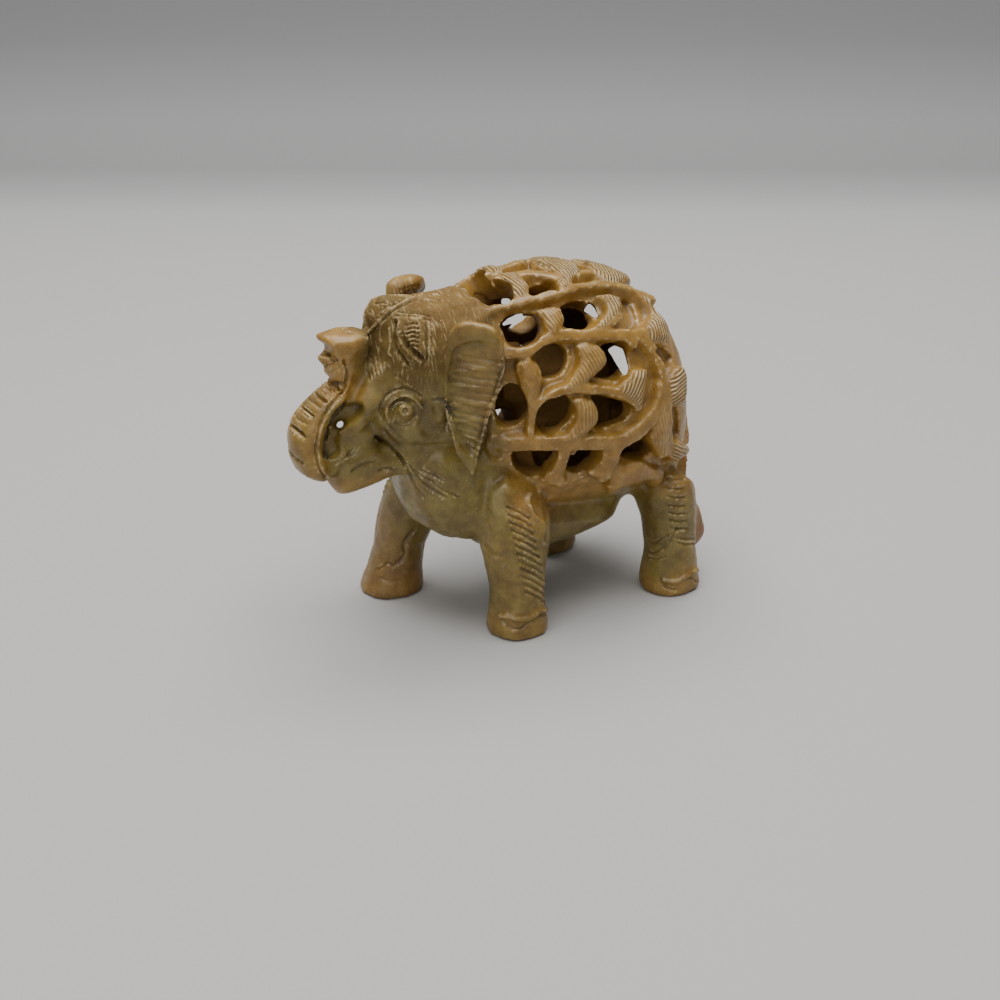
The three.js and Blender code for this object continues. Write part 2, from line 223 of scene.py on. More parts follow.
# The pierced wall. Vines and leaves are what is left of the rounded body: the ground between them is sunk, and
# holes are drilled and cut through it into the hollow. The far side has the same holes under a plainer pattern.
GROUND, VINE_TOP, LEAF_STALK, LEAF_TOP = -1.25, 0.75, 0.35, 1.0
HOLE_DEPTH, RECESS_DEPTH = WALL + 1.5, 2.2
VINES = [  # half width in marks, then the marks along it
    (26, [(790, 160), (850, 130), (910, 108), (980, 84), (1040, 66), (1120, 56), (1200, 58), (1280, 76), (1350, 106),
        (1410, 142)]),
    (20, [(800, 296), (880, 262), (960, 245), (1040, 222), (1110, 208), (1200, 182), (1290, 168), (1400, 175),
        (1450, 190), (1520, 222)]),
    (24, [(950, 430), (1010, 430), (1060, 410), (1110, 378), (1180, 362), (1290, 362), (1400, 362), (1480, 375),
        (1530, 430), (1560, 500), (1575, 570), (1570, 630)]),
    (34, [(1570, 560), (1560, 630), (1520, 690), (1470, 745), (1400, 785), (1320, 788), (1230, 790), (1140, 790),
        (1050, 788), (940, 795)]),
    (20, [(1048, 700), (1062, 650), (1100, 612), (1160, 582), (1230, 572), (1300, 577), (1380, 588), (1440, 612),
        (1468, 648)]),
    (18, [(1030, 470), (1045, 540), (1050, 620), (1045, 700), (1040, 780)]),
    (22, [(1290, 340), (1340, 320), (1385, 290)]),
    (16, [(1450, 400), (1420, 372), (1500, 345)]),
    (26, [(1180, 800), (1165, 860), (1130, 930)]),
    (30, [(1390, 800), (1360, 860), (1330, 920)]),
    (18, [(1590, 600), (1590, 680), (1590, 760), (1600, 830)]),
]
LEAVES = [  # outline, two marks that its cut lines run along, and how boldly it is cut
    ([(905, 132), (945, 120), (985, 122), (1002, 140), (1030, 160), (1035, 205), (1020, 225), (985, 222), (955, 192),
        (930, 160)], (915, 140), (1005, 205), 1.0),
    ([(1045, 78), (1100, 74), (1180, 76), (1222, 92), (1242, 118), (1215, 140), (1200, 165), (1175, 192), (1152, 182),
        (1150, 160), (1165, 146), (1120, 108), (1070, 92)], (1180, 85), (1235, 120), 1.0),
    ([(1240, 62), (1350, 98), (1400, 122), (1440, 150), (1400, 162), (1350, 162), (1320, 140),
        (1280, 115)], (1370, 108), (1410, 150), 0.9),
    ([(1066, 262), (1150, 254), (1165, 280), (1171, 300), (1160, 350), (1140, 378), (1104, 380), (1105, 350),
        (1095, 325), (1085, 295)], (1090, 270), (1150, 350), 0.35),
    ([(1300, 206), (1345, 200), (1390, 214), (1402, 240), (1409, 265), (1370, 305), (1335, 340), (1300, 345),
        (1305, 318), (1335, 290), (1345, 262), (1335, 230)], (1355, 215), (1375, 262), 0.8),
    ([(1465, 205), (1510, 222), (1532, 260), (1562, 290), (1592, 350), (1580, 402), (1540, 396), (1505, 396),
        (1500, 350), (1480, 345), (1508, 310), (1522, 270), (1495, 232)], (1530, 260), (1560, 350), 1.0),
    ([(1228, 402), (1290, 398), (1322, 412), (1342, 440), (1346, 465), (1330, 490), (1290, 525), (1250, 562),
        (1175, 580), (1200, 540), (1225, 500), (1240, 450)], (1250, 430), (1290, 500), 0.35),
    ([(985, 480), (1010, 458), (1050, 466), (1076, 495), (1087, 530), (1080, 570), (1068, 640), (1035, 640),
        (1025, 600), (998, 545)], (1000, 480), (1060, 590), 0.12),
    ([(1385, 575), (1430, 532), (1455, 500), (1502, 500), (1500, 560), (1490, 620), (1472, 655), (1440, 625),
        (1400, 600)], (1470, 510), (1430, 600), 0.9),
    ([(1215, 622), (1250, 610), (1290, 622), (1305, 650), (1314, 690), (1290, 728), (1260, 758), (1220, 778),
        (1170, 792), (1195, 745), (1225, 700), (1226, 650)], (1240, 640), (1240, 740), 0.35),
    ([(1595, 545), (1608, 508), (1640, 482), (1656, 520), (1656, 600), (1636, 645), (1600, 636),
        (1585, 600)], (1600, 590), (1650, 545), 1.0),
    ([(1598, 800), (1618, 780), (1662, 798), (1668, 822), (1640, 850), (1606, 868), (1590, 840)], (1605, 800),
        (1665, 825), 1.0),
    ([(1545, 640), (1578, 640), (1592, 720), (1592, 800), (1600, 830), (1560, 852), (1545, 820), (1522, 780),
        (1530, 720)], (1550, 700), (1560, 840), 0.25),
    ([(1150, 832), (1195, 828), (1185, 880), (1172, 920), (1186, 952), (1150, 966), (1100, 950), (1088, 930),
        (1130, 890), (1142, 860)], None, None, 0),
    ([(1322, 828), (1382, 808), (1402, 850), (1372, 900), (1370, 925), (1330, 936), (1290, 920), (1278, 905),
        (1320, 880)], None, None, 0),
    ([(1385, 880), (1430, 878), (1480, 868), (1520, 893), (1570, 903), (1566, 940), (1550, 965), (1520, 966),
        (1500, 937), (1450, 950), (1390, 970), (1360, 1000), (1350, 960)], None, None, 0),
]
HOLES = [
    [(785, 180), (810, 152), (870, 145), (935, 150), (970, 175), (975, 210), (960, 235), (900, 240), (840, 225),
        (800, 205)],
    [(1035, 158), (1080, 150), (1130, 150), (1152, 170), (1150, 193), (1110, 190), (1060, 205), (1035, 210)],
    [(920, 325), (950, 285), (1000, 272), (1060, 275), (1085, 305), (1090, 345), (1065, 385), (1020, 408), (965, 408),
        (938, 365)],
    [(1170, 255), (1190, 230), (1230, 218), (1280, 222), (1305, 250), (1318, 300), (1290, 330), (1240, 340),
        (1190, 325), (1172, 290)],
    [(1340, 405), (1370, 392), (1415, 385), (1440, 420), (1450, 470), (1435, 520), (1390, 550), (1340, 540),
        (1300, 525), (1335, 490), (1347, 460), (1337, 430)],
    [(1050, 450), (1090, 405), (1140, 395), (1185, 415), (1200, 455), (1190, 500), (1155, 535), (1090, 540),
        (1087, 505), (1072, 475)],
    [(895, 680), (905, 620), (930, 575), (965, 562), (1005, 580), (1030, 630), (1028, 690), (990, 730), (940, 742),
        (905, 720)],
    [(1062, 700), (1070, 650), (1110, 615), (1165, 605), (1205, 620), (1220, 660), (1200, 710), (1160, 750),
        (1110, 765), (1075, 740)],
    [(1285, 607), (1340, 612), (1420, 628), (1455, 655), (1445, 700), (1400, 725), (1330, 748), (1295, 730),
        (1314, 690), (1307, 645)],
    [(960, 850), (1010, 825), (1080, 820), (1150, 822), (1140, 860), (1110, 900), (1090, 935), (1030, 940), (985, 915),
        (965, 880)],
    [(1240, 835), (1290, 820), (1325, 822), (1318, 870), (1280, 905), (1250, 925), (1210, 925), (1188, 900),
        (1200, 865)],
    [(1410, 850), (1450, 810), (1500, 760), (1520, 790), (1545, 830), (1520, 860), (1470, 868), (1425, 865)],
]
RECESSES = [  # hollows that don't break through
    [(1405, 215), (1440, 208), (1470, 225), (1490, 270), (1495, 310), (1475, 335), (1420, 330), (1395, 325),
        (1388, 305), (1412, 270)],
    [(1525, 420), (1560, 412), (1600, 410), (1640, 450), (1625, 480), (1600, 505), (1585, 510), (1560, 470)],
    [(1598, 655), (1625, 650), (1655, 660), (1660, 760), (1635, 785), (1608, 788), (1598, 720)],
]


def body_fullness(places):
    """How far out a place lies, as a share of the body's section there: 1 is on its skin."""
    middle, width, height = (np.interp(places[:, 0], body_sections[:, 0], body_sections[:, k]) for k in (1, 2, 3))
    across = np.abs(places[:, 1] / np.maximum(width, 0.3)) ** ROUNDNESS
    rise = np.abs((places[:, 2] - middle) / np.maximum(height, 0.3)) ** ROUNDNESS
    return (across + rise) ** (1 / ROUNDNESS)


def body_height(places):
    """Height over the body's rounded skin in millimetres, and the direction straight out of it."""
    step = 0.05
    slope = np.stack([(body_fullness(places + step * axis) - body_fullness(places - step * axis)) / (2 * step)
                      for axis in np.eye(3)], axis=1)
    steepness = np.maximum(np.linalg.norm(slope, axis=1), 1e-6)
    return (body_fullness(places) - 1) / steepness, slope / steepness[:, None]


def on_body(marks):
    """Places on the body's rounded skin where sight lines through marks meet it."""
    reach = np.arange(190, 320, 0.2)
    places = []
    for line in sight_lines(marks):
        run = EYE + reach[:, None] * line
        fullness = body_fullness(run)
        inside = np.flatnonzero(fullness < 1)
        places.append(run[inside[0] if len(inside) else np.argmin(fullness)])
    return np.array(places)


def flat_frame(places):
    """Middle of places on the body, with two directions along the skin there and one out of it."""
    middle = places.mean(axis=0)
    out = body_height(middle[None])[1][0]
    forward = np.array([1.0, 0, 0]) - out[0] * out
    forward /= np.linalg.norm(forward)
    return middle, np.stack([forward, np.cross(out, forward)], axis=1), out


wall_lines = [(width / MARKS_PER_MM, on_body(through(marks, 6 * len(marks)))) for width, marks in VINES]
wall_holes = [on_body(rounded(outline)) for outline in HOLES]
wall_recesses = [on_body(rounded(outline)) for outline in RECESSES]
wall_leaves = [(on_body(rounded(outline, 3)), None if start is None else on_body([start, end]), boldness)
               for outline, start, end, boldness in LEAVES]


def other_side(items):
    """The same lines or leaves on the other side of the body, which has only some of them."""
    return [tuple(part * MIRROR if isinstance(part, np.ndarray) else part for part in item) for item in items]


all_lines = wall_lines + other_side(wall_lines[:4])
all_leaves = wall_leaves + other_side(wall_leaves[:7] + wall_leaves[8:10])
all_holes = wall_holes + [hole * MIRROR for hole in wall_holes]
all_recesses = wall_recesses + [recess * MIRROR for recess in wall_recesses]


def carve_wall(places, facing):
    """Moves the outer wall to the height of vine, leaf or ground."""
    height, out = body_height(places)
    wall = ramp(np.sum(facing * out, axis=1), 0.1, 0.5) * (1 - ramp(np.abs(height), 2, 2.6))
    wall *= 1 - ramp(places[:, 0] + 0.1 * (places[:, 2] - 40), 4, 8)
    near = np.flatnonzero(wall > 0.01)
    spots, over = places[near], height[near]
    level = np.full(len(near), GROUND)
    for half_width, line in all_lines:
        away = np.sqrt(np.maximum(distance_to_line(spots, line) ** 2 - over ** 2, 0))
        level = np.maximum(level, VINE_TOP - (VINE_TOP - GROUND) * ramp(away, 0.75 * half_width, half_width + 0.45))
    for outline, _, _ in all_leaves:
        middle, plane, leaf_out = flat_frame(outline)
        offset = spots - middle
        inner = depth_inside(offset @ plane, (outline - middle) @ plane)
        blade = LEAF_STALK + (LEAF_TOP - LEAF_STALK) * ramp(inner, -0.1, 1.3)
        shape = np.where(inner > 0, blade, blade - (blade - GROUND) * ramp(-inner, 0, 0.35))
        close = np.abs(offset @ leaf_out) < 4
        level = np.where(close, np.maximum(level, shape), level)
    moved = places.copy()
    moved[near] += out[near] * ((level - over) * wall[near])[:, None]
    return moved


def sight_cutter(outline, near, far):
    """A tool that cuts straight along the sight lines through an outline of marks, between two distances."""
    form = bmesh.new()
    lines = sight_lines(outline)
    face = form.faces.new([form.verts.new((EYE + near * line) * MM) for line in lines])
    deep = bmesh.ops.extrude_face_region(form, geom=[face])["geom"]
    for vert in [part for part in deep if isinstance(part, bmesh.types.BMVert)]:
        line = np.array(vert.co) / MM - EYE
        vert.co = Vector((EYE + far * line / np.linalg.norm(line)) * MM)
    bmesh.ops.recalc_face_normals(form, faces=form.faces)
    return form


def combine(piece, form, operation):
    tool = new_piece("tool", form)
    joiner = piece.modifiers.new("combine", "BOOLEAN")
    joiner.operation = operation
    joiner.object = tool
    joiner.solver = "MANIFOLD"
    apply_modifiers(piece)
    bpy.data.objects.remove(tool)


def cut_holes(piece, rims, below):
    """Cuts holes that deep below the skin, narrower inside and wider outside, with the drill held rather level."""
    above, outer_share, inner_share, level_drill = 3.0, 1.06, 0.86, (1, 1, 0.5)
    cutters = bmesh.new()
    for rim in rims:
        middle, _, out = flat_frame(rim)
        out = out * level_drill
        out /= np.linalg.norm(out)
        if rim[:, 1].mean() < 0:
            rim = rim[::-1]
        corners = [cutters.verts.new((middle + outer_share * (spot - middle) + above * out) * MM) for spot in rim]
        face = cutters.faces.new(corners)
        inner = bmesh.ops.extrude_face_region(cutters, geom=[face])["geom"]
        for vert in [part for part in inner if isinstance(part, bmesh.types.BMVert)]:
            spot = np.array(vert.co) / MM - above * out
            vert.co = Vector((middle + inner_share * (spot - middle) - below * out) * MM)
        bmesh.ops.recalc_face_normals(cutters, faces=cutters.faces)
    tool = new_piece("hole_cutters", cutters)
    even_out(tool, CUTTER_VOXEL)
    joined_cutters = bmesh.new()
    joined_cutters.from_mesh(tool.data)
    bpy.data.objects.remove(tool)
    combine(piece, joined_cutters, "DIFFERENCE")


FAR_WINDOWS = [  # where daylight shows through the far wall
    [(925, 213), (966, 212), (960, 236), (925, 242)],
    [(915, 328), (950, 292), (1000, 272), (1020, 274), (988, 306), (940, 324)],
    [(1248, 264), (1275, 228), (1302, 252), (1320, 305), (1285, 284)],
    [(1348, 418), (1380, 400), (1412, 416), (1432, 490), (1426, 530), (1408, 512), (1378, 462)],
]


def cut_far_windows(piece):
    """Cuts windows in the far wall, straight along the carver's view, from just before the body to just past it."""
    for outline in FAR_WINDOWS:
        reach = np.arange(200, 330, 0.2)
        middle = sight_lines([np.mean(outline, axis=0)])[0]
        inside = reach[body_fullness(EYE + reach[:, None] * middle) < 1]
        combine(piece, sight_cutter(outline, inside[0] - 2, inside[-1] + 3), "DIFFERENCE")


shell_form = bmesh.new()
bmesh.ops.solidify(shell_form, geom=swept_form(shell_form, body_sections), thickness=-WALL * MM)
shell = new_piece("body_shell", shell_form)
cut_holes(shell, all_holes, HOLE_DEPTH)
block_form = bmesh.new()
block_form.from_mesh(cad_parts["elephant"].data)
bmesh.ops.remove_doubles(block_form, verts=block_form.verts, dist=0.001 * MM)
block_form.from_mesh(shell.data)
bpy.data.objects.remove(shell)
belly_faces = swept_form(block_form, closed_sections(BELLY))
for face in belly_faces:
    for vert in face.verts:
        vert.co.z = min(vert.co.z, BELLY_TOP * MM)
stone = new_piece("carved_stone", block_form)
even_out(stone, ROUGH_VOXEL)
places, facing = read_skin(stone)
write_skin(stone, carve_wall(places, facing))
cut_holes(stone, all_holes, HOLE_DEPTH)
cut_holes(stone, all_recesses, RECESS_DEPTH)
cut_far_windows(stone)

# The head's broad forms, roughed out with a gouge on both sides before the fine knife work. The trunk curls up until
# its jagged tip leans on the forehead, with a deep dark hollow behind it that is open right through at the top.
PLUG_MIDDLE, PLUG_LENGTH, PLUG_RADIUS = (29.4, 0, 39.4), 5.2, 1.5  # stone left in the hollow behind the trunk
FOREHEAD_SWELLS = [  # mark, radius and height in millimetres
    ((446, 250), 5.0, 1.3), ((490, 226), 4.5, 0.5), ((100, 790), 6.5, 0.7), ((150, 890), 5.0, 0.7),
    ((420, 650), 5, 0.5), ((495, 640), 4.0, 0.5), ((560, 900), 4.0, 0.4),
]
FAR_EAR_SWELLS = [((560, 156), 4.6, 0.9), ((515, 164), 4.0, 0.8)]
TIP_EDGE = [  # mark across the view of the tip's jagged front edge, at each mark down it
    (320, 196), (336, 196), (355, 181), (380, 200), (398, 215), (412, 215), (421, 196), (435, 188), (455, 182),
    (475, 195), (491, 207), (503, 192), (520, 205), (532, 212), (560, 206),
]
TIP_ROUND_EDGE = 206
HOLLOWS = [  # depth, width of the sloping edge in marks, outline
    (2.2, 26, [(222, 838), (228, 770), (248, 715), (275, 668), (320, 640), (362, 640), (360, 680), (325, 720),
        (318, 780), (280, 838), (245, 850)]),
    (0.8, 34, [(318, 470), (345, 440), (395, 430), (400, 500), (372, 560), (345, 620), (318, 640), (312, 580),
        (322, 530)]),
    (0.9, 16, [(214, 424), (236, 430), (262, 464), (250, 478), (228, 458), (206, 440)]),
    (0.7, 18, [(206, 538), (245, 545), (290, 556), (296, 575), (250, 568), (210, 556)]),
    (0.5, 22, [(425, 335), (450, 325), (470, 345), (462, 378), (435, 376)]),
    (0.7, 26, [(600, 640), (640, 620), (660, 660), (655, 720), (700, 760), (650, 780), (600, 740)]),
    (-0.6, 26, [(650, 650), (680, 640), (700, 660), (700, 690), (675, 706), (652, 690)]),
    (0.6, 26, [(420, 765), (470, 790), (520, 845), (500, 870), (455, 845), (425, 800)]),
    (-1.5, 44, [(330, 738), (385, 712), (425, 760), (425, 850), (350, 880), (296, 910), (308, 820)]),
]
OPEN_PLACE = [(256, 735), (262, 712), (276, 697), (292, 695), (304, 706), (302, 722), (284, 737)]


def seen(piece, places, facing, region, side=1):
    """Which vertices show from the viewpoint, or on side -1 from its mirror image; their marks; how squarely."""
    flip = np.array([1.0, side, 1.0])
    run = EYE * flip - places
    run /= np.linalg.norm(run, axis=1)[:, None]
    square = np.sum(run * facing, axis=1)
    chosen = np.flatnonzero(region & (square > 0.04))
    tree = BVHTree.FromObject(piece, bpy.context.evaluated_depsgraph_get())
    lifted = (places + 0.25 * facing) * MM
    shows = [tree.ray_cast(Vector(lifted[i]), Vector(run[i]))[0] is None for i in chosen]
    chosen = chosen[shows]
    return chosen, marks_of(places[chosen] * flip), ramp(square[chosen], 0.04, 0.2)


def swell(places, facing, touched, swells, sides=(1, -1)):
    """Leaves soft swellings proud, on both sides or on one."""
    risen = np.zeros(len(places))
    for mark, radius, height in swells:
        middle = touched([mark])[0]
        for side in sides:
            away = np.linalg.norm(places - middle * np.array([1, side, 1]), axis=1)
            risen = np.maximum(risen, height * (1 - ramp(away, 0.15 * radius, radius)))
    return places + risen[:, None] * facing


def sink(piece, region, lines=(), areas=(), sides=(1, -1)):
    """Sinks lines and outlined places into the skin as deep as given; a negative depth is left proud."""
    places, facing = read_skin(piece)
    moved = places.copy()
    for side in sides:
        chosen, marks, square = seen(piece, places, facing, region(places), side)
        depth = np.zeros(len(chosen))
        for amount, half_width, line in lines:
            line = through(line, 4 * len(line))
            low, high = line.min(axis=0) - half_width, line.max(axis=0) + half_width
            near = np.flatnonzero(np.all((marks > low) & (marks < high), axis=1))
            if len(near):
                away = distance_to_line(marks[near], line)
                cut = amount * (1 - ramp(away, 0.1 * half_width, half_width))
                depth[near] = np.where(np.abs(cut) > np.abs(depth[near]), cut, depth[near])
        for amount, edge, outline in areas:
            inner = depth_inside(marks, rounded(outline))
            depth += amount * ramp(inner, -edge / 2, edge / 2)
        moved[chosen] -= facing[chosen] * (depth * square)[:, None]
    write_skin(piece, moved)


def head_side(places):
    return (places[:, 0] > 9) & (places[:, 2] > 26)


plug_form = bmesh.new()
plug = bmesh.ops.create_cone(plug_form, cap_ends=True, segments=16, radius1=PLUG_RADIUS * MM, radius2=PLUG_RADIUS * MM,
                             depth=PLUG_LENGTH * MM)
bmesh.ops.rotate(plug_form, verts=plug["verts"], matrix=Vector((0, 1, 0)).to_track_quat("Z", "Y").to_matrix())
bmesh.ops.translate(plug_form, verts=plug["verts"], vec=Vector(PLUG_MIDDLE) * MM)
combine(stone, plug_form, "UNION")
places, facing = read_skin(stone)
touched = touch(stone)
places = swell(places, facing, touched, FOREHEAD_SWELLS)
places = swell(places, facing, touched, FAR_EAR_SWELLS, sides=(1,))
marks = marks_of(places)
# The far ear reaches further right and up in this view.
far_ear = (places[:, 1] < -7) & (marks[:, 0] > 430) & (marks[:, 0] < 640) & (marks[:, 1] < 220)
growth = (1 - ramp(marks[:, 1], 170, 215)) * far_ear
places += np.outer(1.2 * ramp(marks[:, 0], 480, 570) * growth, RIGHT) + np.outer(0.3 * growth, UP)
# The front edge of the trunk's tip is jagged.
edge_down, edge_across = np.array(TIP_EDGE, float).T
jag = np.interp(marks[:, 1], edge_down, edge_across) - TIP_ROUND_EDGE
front_share = 1 - ramp(marks[:, 0], 200, 268)
tip = (places[:, 0] > 25) & (places[:, 2] > 44) & (marks[:, 1] > 320) & (marks[:, 1] < 560)
places += RIGHT * (np.where(tip, jag * front_share, 0) / MARKS_PER_MM)[:, None]
write_skin(stone, places)
sink(stone, head_side, areas=HOLLOWS)
combine(stone, sight_cutter(OPEN_PLACE, EYE_DISTANCE - 40, EYE_DISTANCE + 10), "DIFFERENCE")

even_out(stone, FINE_VOXEL)


def wear(piece, weights, rounds):
    """Wears the skin smooth where the weights say so."""
    group = piece.vertex_groups.new(name="worn")
    levels = np.round(weights, 1)
    for level in np.unique(levels[levels > 0]):
        group.add(np.flatnonzero(levels == level).tolist(), float(level), "REPLACE")
    smoother = piece.modifiers.new("wear", "SMOOTH")
    smoother.factor = 0.5
    smoother.iterations = rounds
    smoother.vertex_group = "worn"
    apply_modifiers(piece)
    piece.vertex_groups.clear()


places, _ = read_skin(stone)
height, _ = body_height(places)
body = 1 - ramp(places[:, 0], 5, 9)
openwork = (1 - ramp(np.abs(height), 4, 6)) * body * ramp(places[:, 2], 19, 25)
inner = (1 - ramp(height, -4, -2)) * body * ramp(places[:, 2], 20, 24)
face = ramp(places[:, 0], 9, 13) * ramp(places[:, 2], 28, 32)
plain = np.clip(1 - openwork - inner, 0, 1) * (1 - 0.6 * face)
wear(stone, plain, 26)
wear(stone, np.where(places[:, 2] < 15, 1.0, 0.0), 40)
# The cheek runs smoothly down into the hollow behind the trunk, and the belly is smooth between the hind legs.
MOUTH_SLOPE = [(262, 672), (330, 650), (392, 668), (432, 760), (418, 856), (335, 890), (268, 872), (240, 800)]
places, _ = read_skin(stone)
mouth = sum(ramp(depth_inside(marks_of(places * flip), rounded(MOUTH_SLOPE)), -12, 16) for flip in (1, MIRROR))
mouth *= ramp(places[:, 0], 18, 21)
under_rear = (1 - ramp(np.abs(places[:, 1]), 11, 13)) * (1 - ramp(places[:, 0], -20, -14))
under_rear *= 1 - ramp(places[:, 2], 18, 21)
wear(stone, np.clip(mouth + under_rear, 0, 1), 90)
wear(stone, np.ones(len(places)), 1)

# The knife work on the head, cut after the forms are smooth: lids and rings round the eyes, creases of the cheeks and
# lips, a cloth with a hatched pendant over the brow, rings round the trunk and flutes in the ears.
EYE_MARK = (541, 664)


def ring(middle, radius):
    turns = np.linspace(0, 2 * math.pi, 13)
    return [(middle[0] + radius * math.cos(turn), middle[1] + radius * math.sin(turn)) for turn in turns]


def rows(first, last, count):
    """Lines evenly spaced from the first one to the last."""
    return [np.array(first) + (np.array(last) - np.array(first)) * k / (count - 1) for k in range(count)]


EYE_CUTS = [
    (0.42, 7, [(488, 702), (492, 662), (515, 636), (548, 630), (576, 646), (584, 672), (568, 702), (534, 716),
        (500, 708)]),
    (0.5, 7, ring(EYE_MARK, 9)),
    (-0.6, 12, [(474, 704), (466, 660), (482, 622), (512, 604), (548, 602), (584, 620), (604, 650)]),
    (0.55, 9, [(452, 704), (444, 655), (460, 608), (490, 584), (528, 574), (568, 582), (604, 604)]),
    (0.45, 7, [(488, 694), (485, 655), (500, 626), (530, 617), (566, 627)]),
    (0.35, 6, [(498, 712), (530, 724), (562, 718), (584, 700)]),
    (0.35, 7, [(468, 704), (485, 738), (522, 772)]),
    (0.3, 7, [(455, 742), (480, 778), (512, 802)]),
]
FACE_CUTS = [
    (0.45, 9, [(650, 622), (684, 620), (708, 645), (716, 682), (706, 722), (692, 748)]),
    (0.9, 10, [(424, 768), (470, 798), (520, 848), (541, 884)]),
    (0.4, 7, [(440, 902), (470, 894), (502, 904)]),
    (0.35, 8, [(330, 905), (370, 880), (420, 868)]),
    (0.25, 6, [(290, 860), (330, 830), (352, 800)]),
    (0.25, 6, [(262, 872), (300, 850), (336, 812)]),
    (0.5, 8, [(545, 880), (580, 960), (615, 1010)]),
    (0.5, 8, [(560, 885), (620, 960), (700, 1010)]),
    (0.4, 7, [(575, 900), (610, 925), (660, 950)]),
    (0.4, 7, [(600, 900), (650, 920), (700, 945)]),
    (0.4, 7, [(650, 950), (700, 985), (760, 1010)]),
    (0.4, 8, [(700, 1100), (760, 1150)]), (0.4, 8, [(770, 1085), (820, 1120)]), (0.3, 8, [(640, 1080), (700, 1130)]),
]
CLOTH_PANEL = [(-0.5, 9, [(505, 292), (560, 290), (614, 302), (620, 380), (622, 462), (600, 440), (560, 405),
    (525, 360), (508, 325)])]
CLOTH_CUTS = [
    (0.4, 7, [(385, 368), (450, 302), (500, 257), (560, 227), (625, 192)]),
    (0.35, 6, [(400, 332), (450, 277), (500, 242), (550, 217), (590, 202)]),
    (-0.35, 7, [(392, 350), (450, 289), (500, 249), (556, 221), (608, 196)]),
    (0.25, 5, [(570, 215), (610, 225), (650, 250), (672, 290), (684, 312)]),
    (0.25, 5, [(500, 265), (540, 272), (590, 276), (642, 287)]),
    (0.35, 5, [(500, 284), (560, 283), (612, 295), (644, 302)]),
    *[(0.5, 6, [(545, y + 8), (570, y), (594, y + 4)]) for y in range(312, 412, 18)],
    (0.4, 5, [(626, 306), (630, 380), (628, 462)]), (0.4, 5, [(642, 302), (648, 380), (642, 472)]),
    (-0.45, 6, [(480, 330), (483, 400), (478, 430), (492, 446)]),
    (0.7, 9, [(502, 300), (498, 380), (510, 422), (540, 462), (564, 488)]),
    (-0.5, 11, [(518, 350), (528, 395), (556, 432), (600, 468)]),
    (0.6, 8, [(530, 352), (548, 398), (586, 432), (618, 462)]),
    (0.3, 5, [(420, 235), (450, 228), (480, 240)]), (0.3, 5, [(440, 262), (470, 245), (510, 232)]),
    (0.2, 4, [(498, 520), (510, 524), (542, 545), (572, 570), (560, 576), (525, 560), (502, 546), (498, 522)]),
    (0.25, 5, ring((660, 188), 15)),
    *[(0.25, 5, [(380 + 14 * k, 470 - 10 * k), (400 + 14 * k, 540 - 8 * k)]) for k in range(6)],
]
TRUNK_CUTS = [
    (0.6, 10, [(310, 545), (303, 564), (280, 594), (240, 644), (207, 702), (192, 762), (187, 832), (194, 884),
        (220, 935)]),
    (0.5, 8, [(302, 634), (260, 684), (230, 738), (220, 802), (226, 850)]),
    (0.55, 9, [(162, 573), (190, 598), (217, 624)]), (0.6, 9, [(118, 638), (145, 662), (170, 688)]),
    (0.6, 9, [(74, 713), (105, 740), (136, 768)]), (0.4, 8, [(76, 828), (104, 856), (132, 874)]),
    *[(0.28, 5, [tuple(point) for point in line]) for line in rows([(186, 556), (258, 640)], [(248, 556),
        (300, 606)], 5)],
    *[(0.28, 5, [tuple(point) for point in line]) for line in rows([(96, 672), (128, 712)], [(142, 600),
        (196, 650)], 4)],
    (0.2, 4, ring((257, 612), 8)),
    (0.6, 7, [(213, 422), (235, 442), (256, 468)]), (0.45, 6, [(256, 468), (235, 481), (210, 489)]),
    (0.25, 5, [(205, 512), (240, 507), (277, 490)]), (0.35, 6, [(290, 334), (305, 348), (330, 350)]),
    (0.9, 11, [(296, 466), (310, 498), (313, 530), (303, 560), (284, 590)]),
    (0.7, 9, [(205, 536), (245, 549), (292, 560)]),
]
EAR_HOLLOW = [(0.5, 30, [
    (740, 420), (715, 480), (708, 560), (700, 620), (705, 700), (717, 760), (745, 800), (790, 840), (822, 890),
    (840, 880), (852, 800), (874, 720), (900, 650), (925, 590), (945, 520), (938, 470), (905, 412), (860, 392),
    (800, 392)])]
FLUTE_LEFT = through([(756, 434), (730, 560), (732, 690), (806, 826)], 15)
FLUTE_RIGHT = through([(930, 466), (914, 590), (860, 730), (832, 850)], 15)
EAR_CUTS = [(0.28, 9, [tuple(left), tuple(0.5 * (left + right) + (0, 5)), tuple(right)])
            for left, right in zip(FLUTE_LEFT, FLUTE_RIGHT)]
FAR_EAR_CUTS = [
    (0.25, 5, [(504, 142), (514, 172), (525, 206)]), (0.25, 5, [(552, 128), (566, 160), (578, 192)]),
    (0.25, 5, [(504, 142), (525, 128), (550, 120)]), (0.2, 5, [(520, 182), (560, 168), (592, 162)]),
]


def near_ear(places):
    return (places[:, 0] < 17) & (np.abs(places[:, 1]) > 8.5) & (places[:, 2] > 26)


sink(stone, head_side, areas=CLOTH_PANEL)
sink(stone, head_side, lines=EYE_CUTS + FACE_CUTS + CLOTH_CUTS + TRUNK_CUTS)
sink(stone, near_ear, areas=EAR_HOLLOW)
sink(stone, near_ear, lines=EAR_CUTS)
sink(stone, lambda places: places[:, 1] < -8, lines=FAR_EAR_CUTS, sides=(1,))

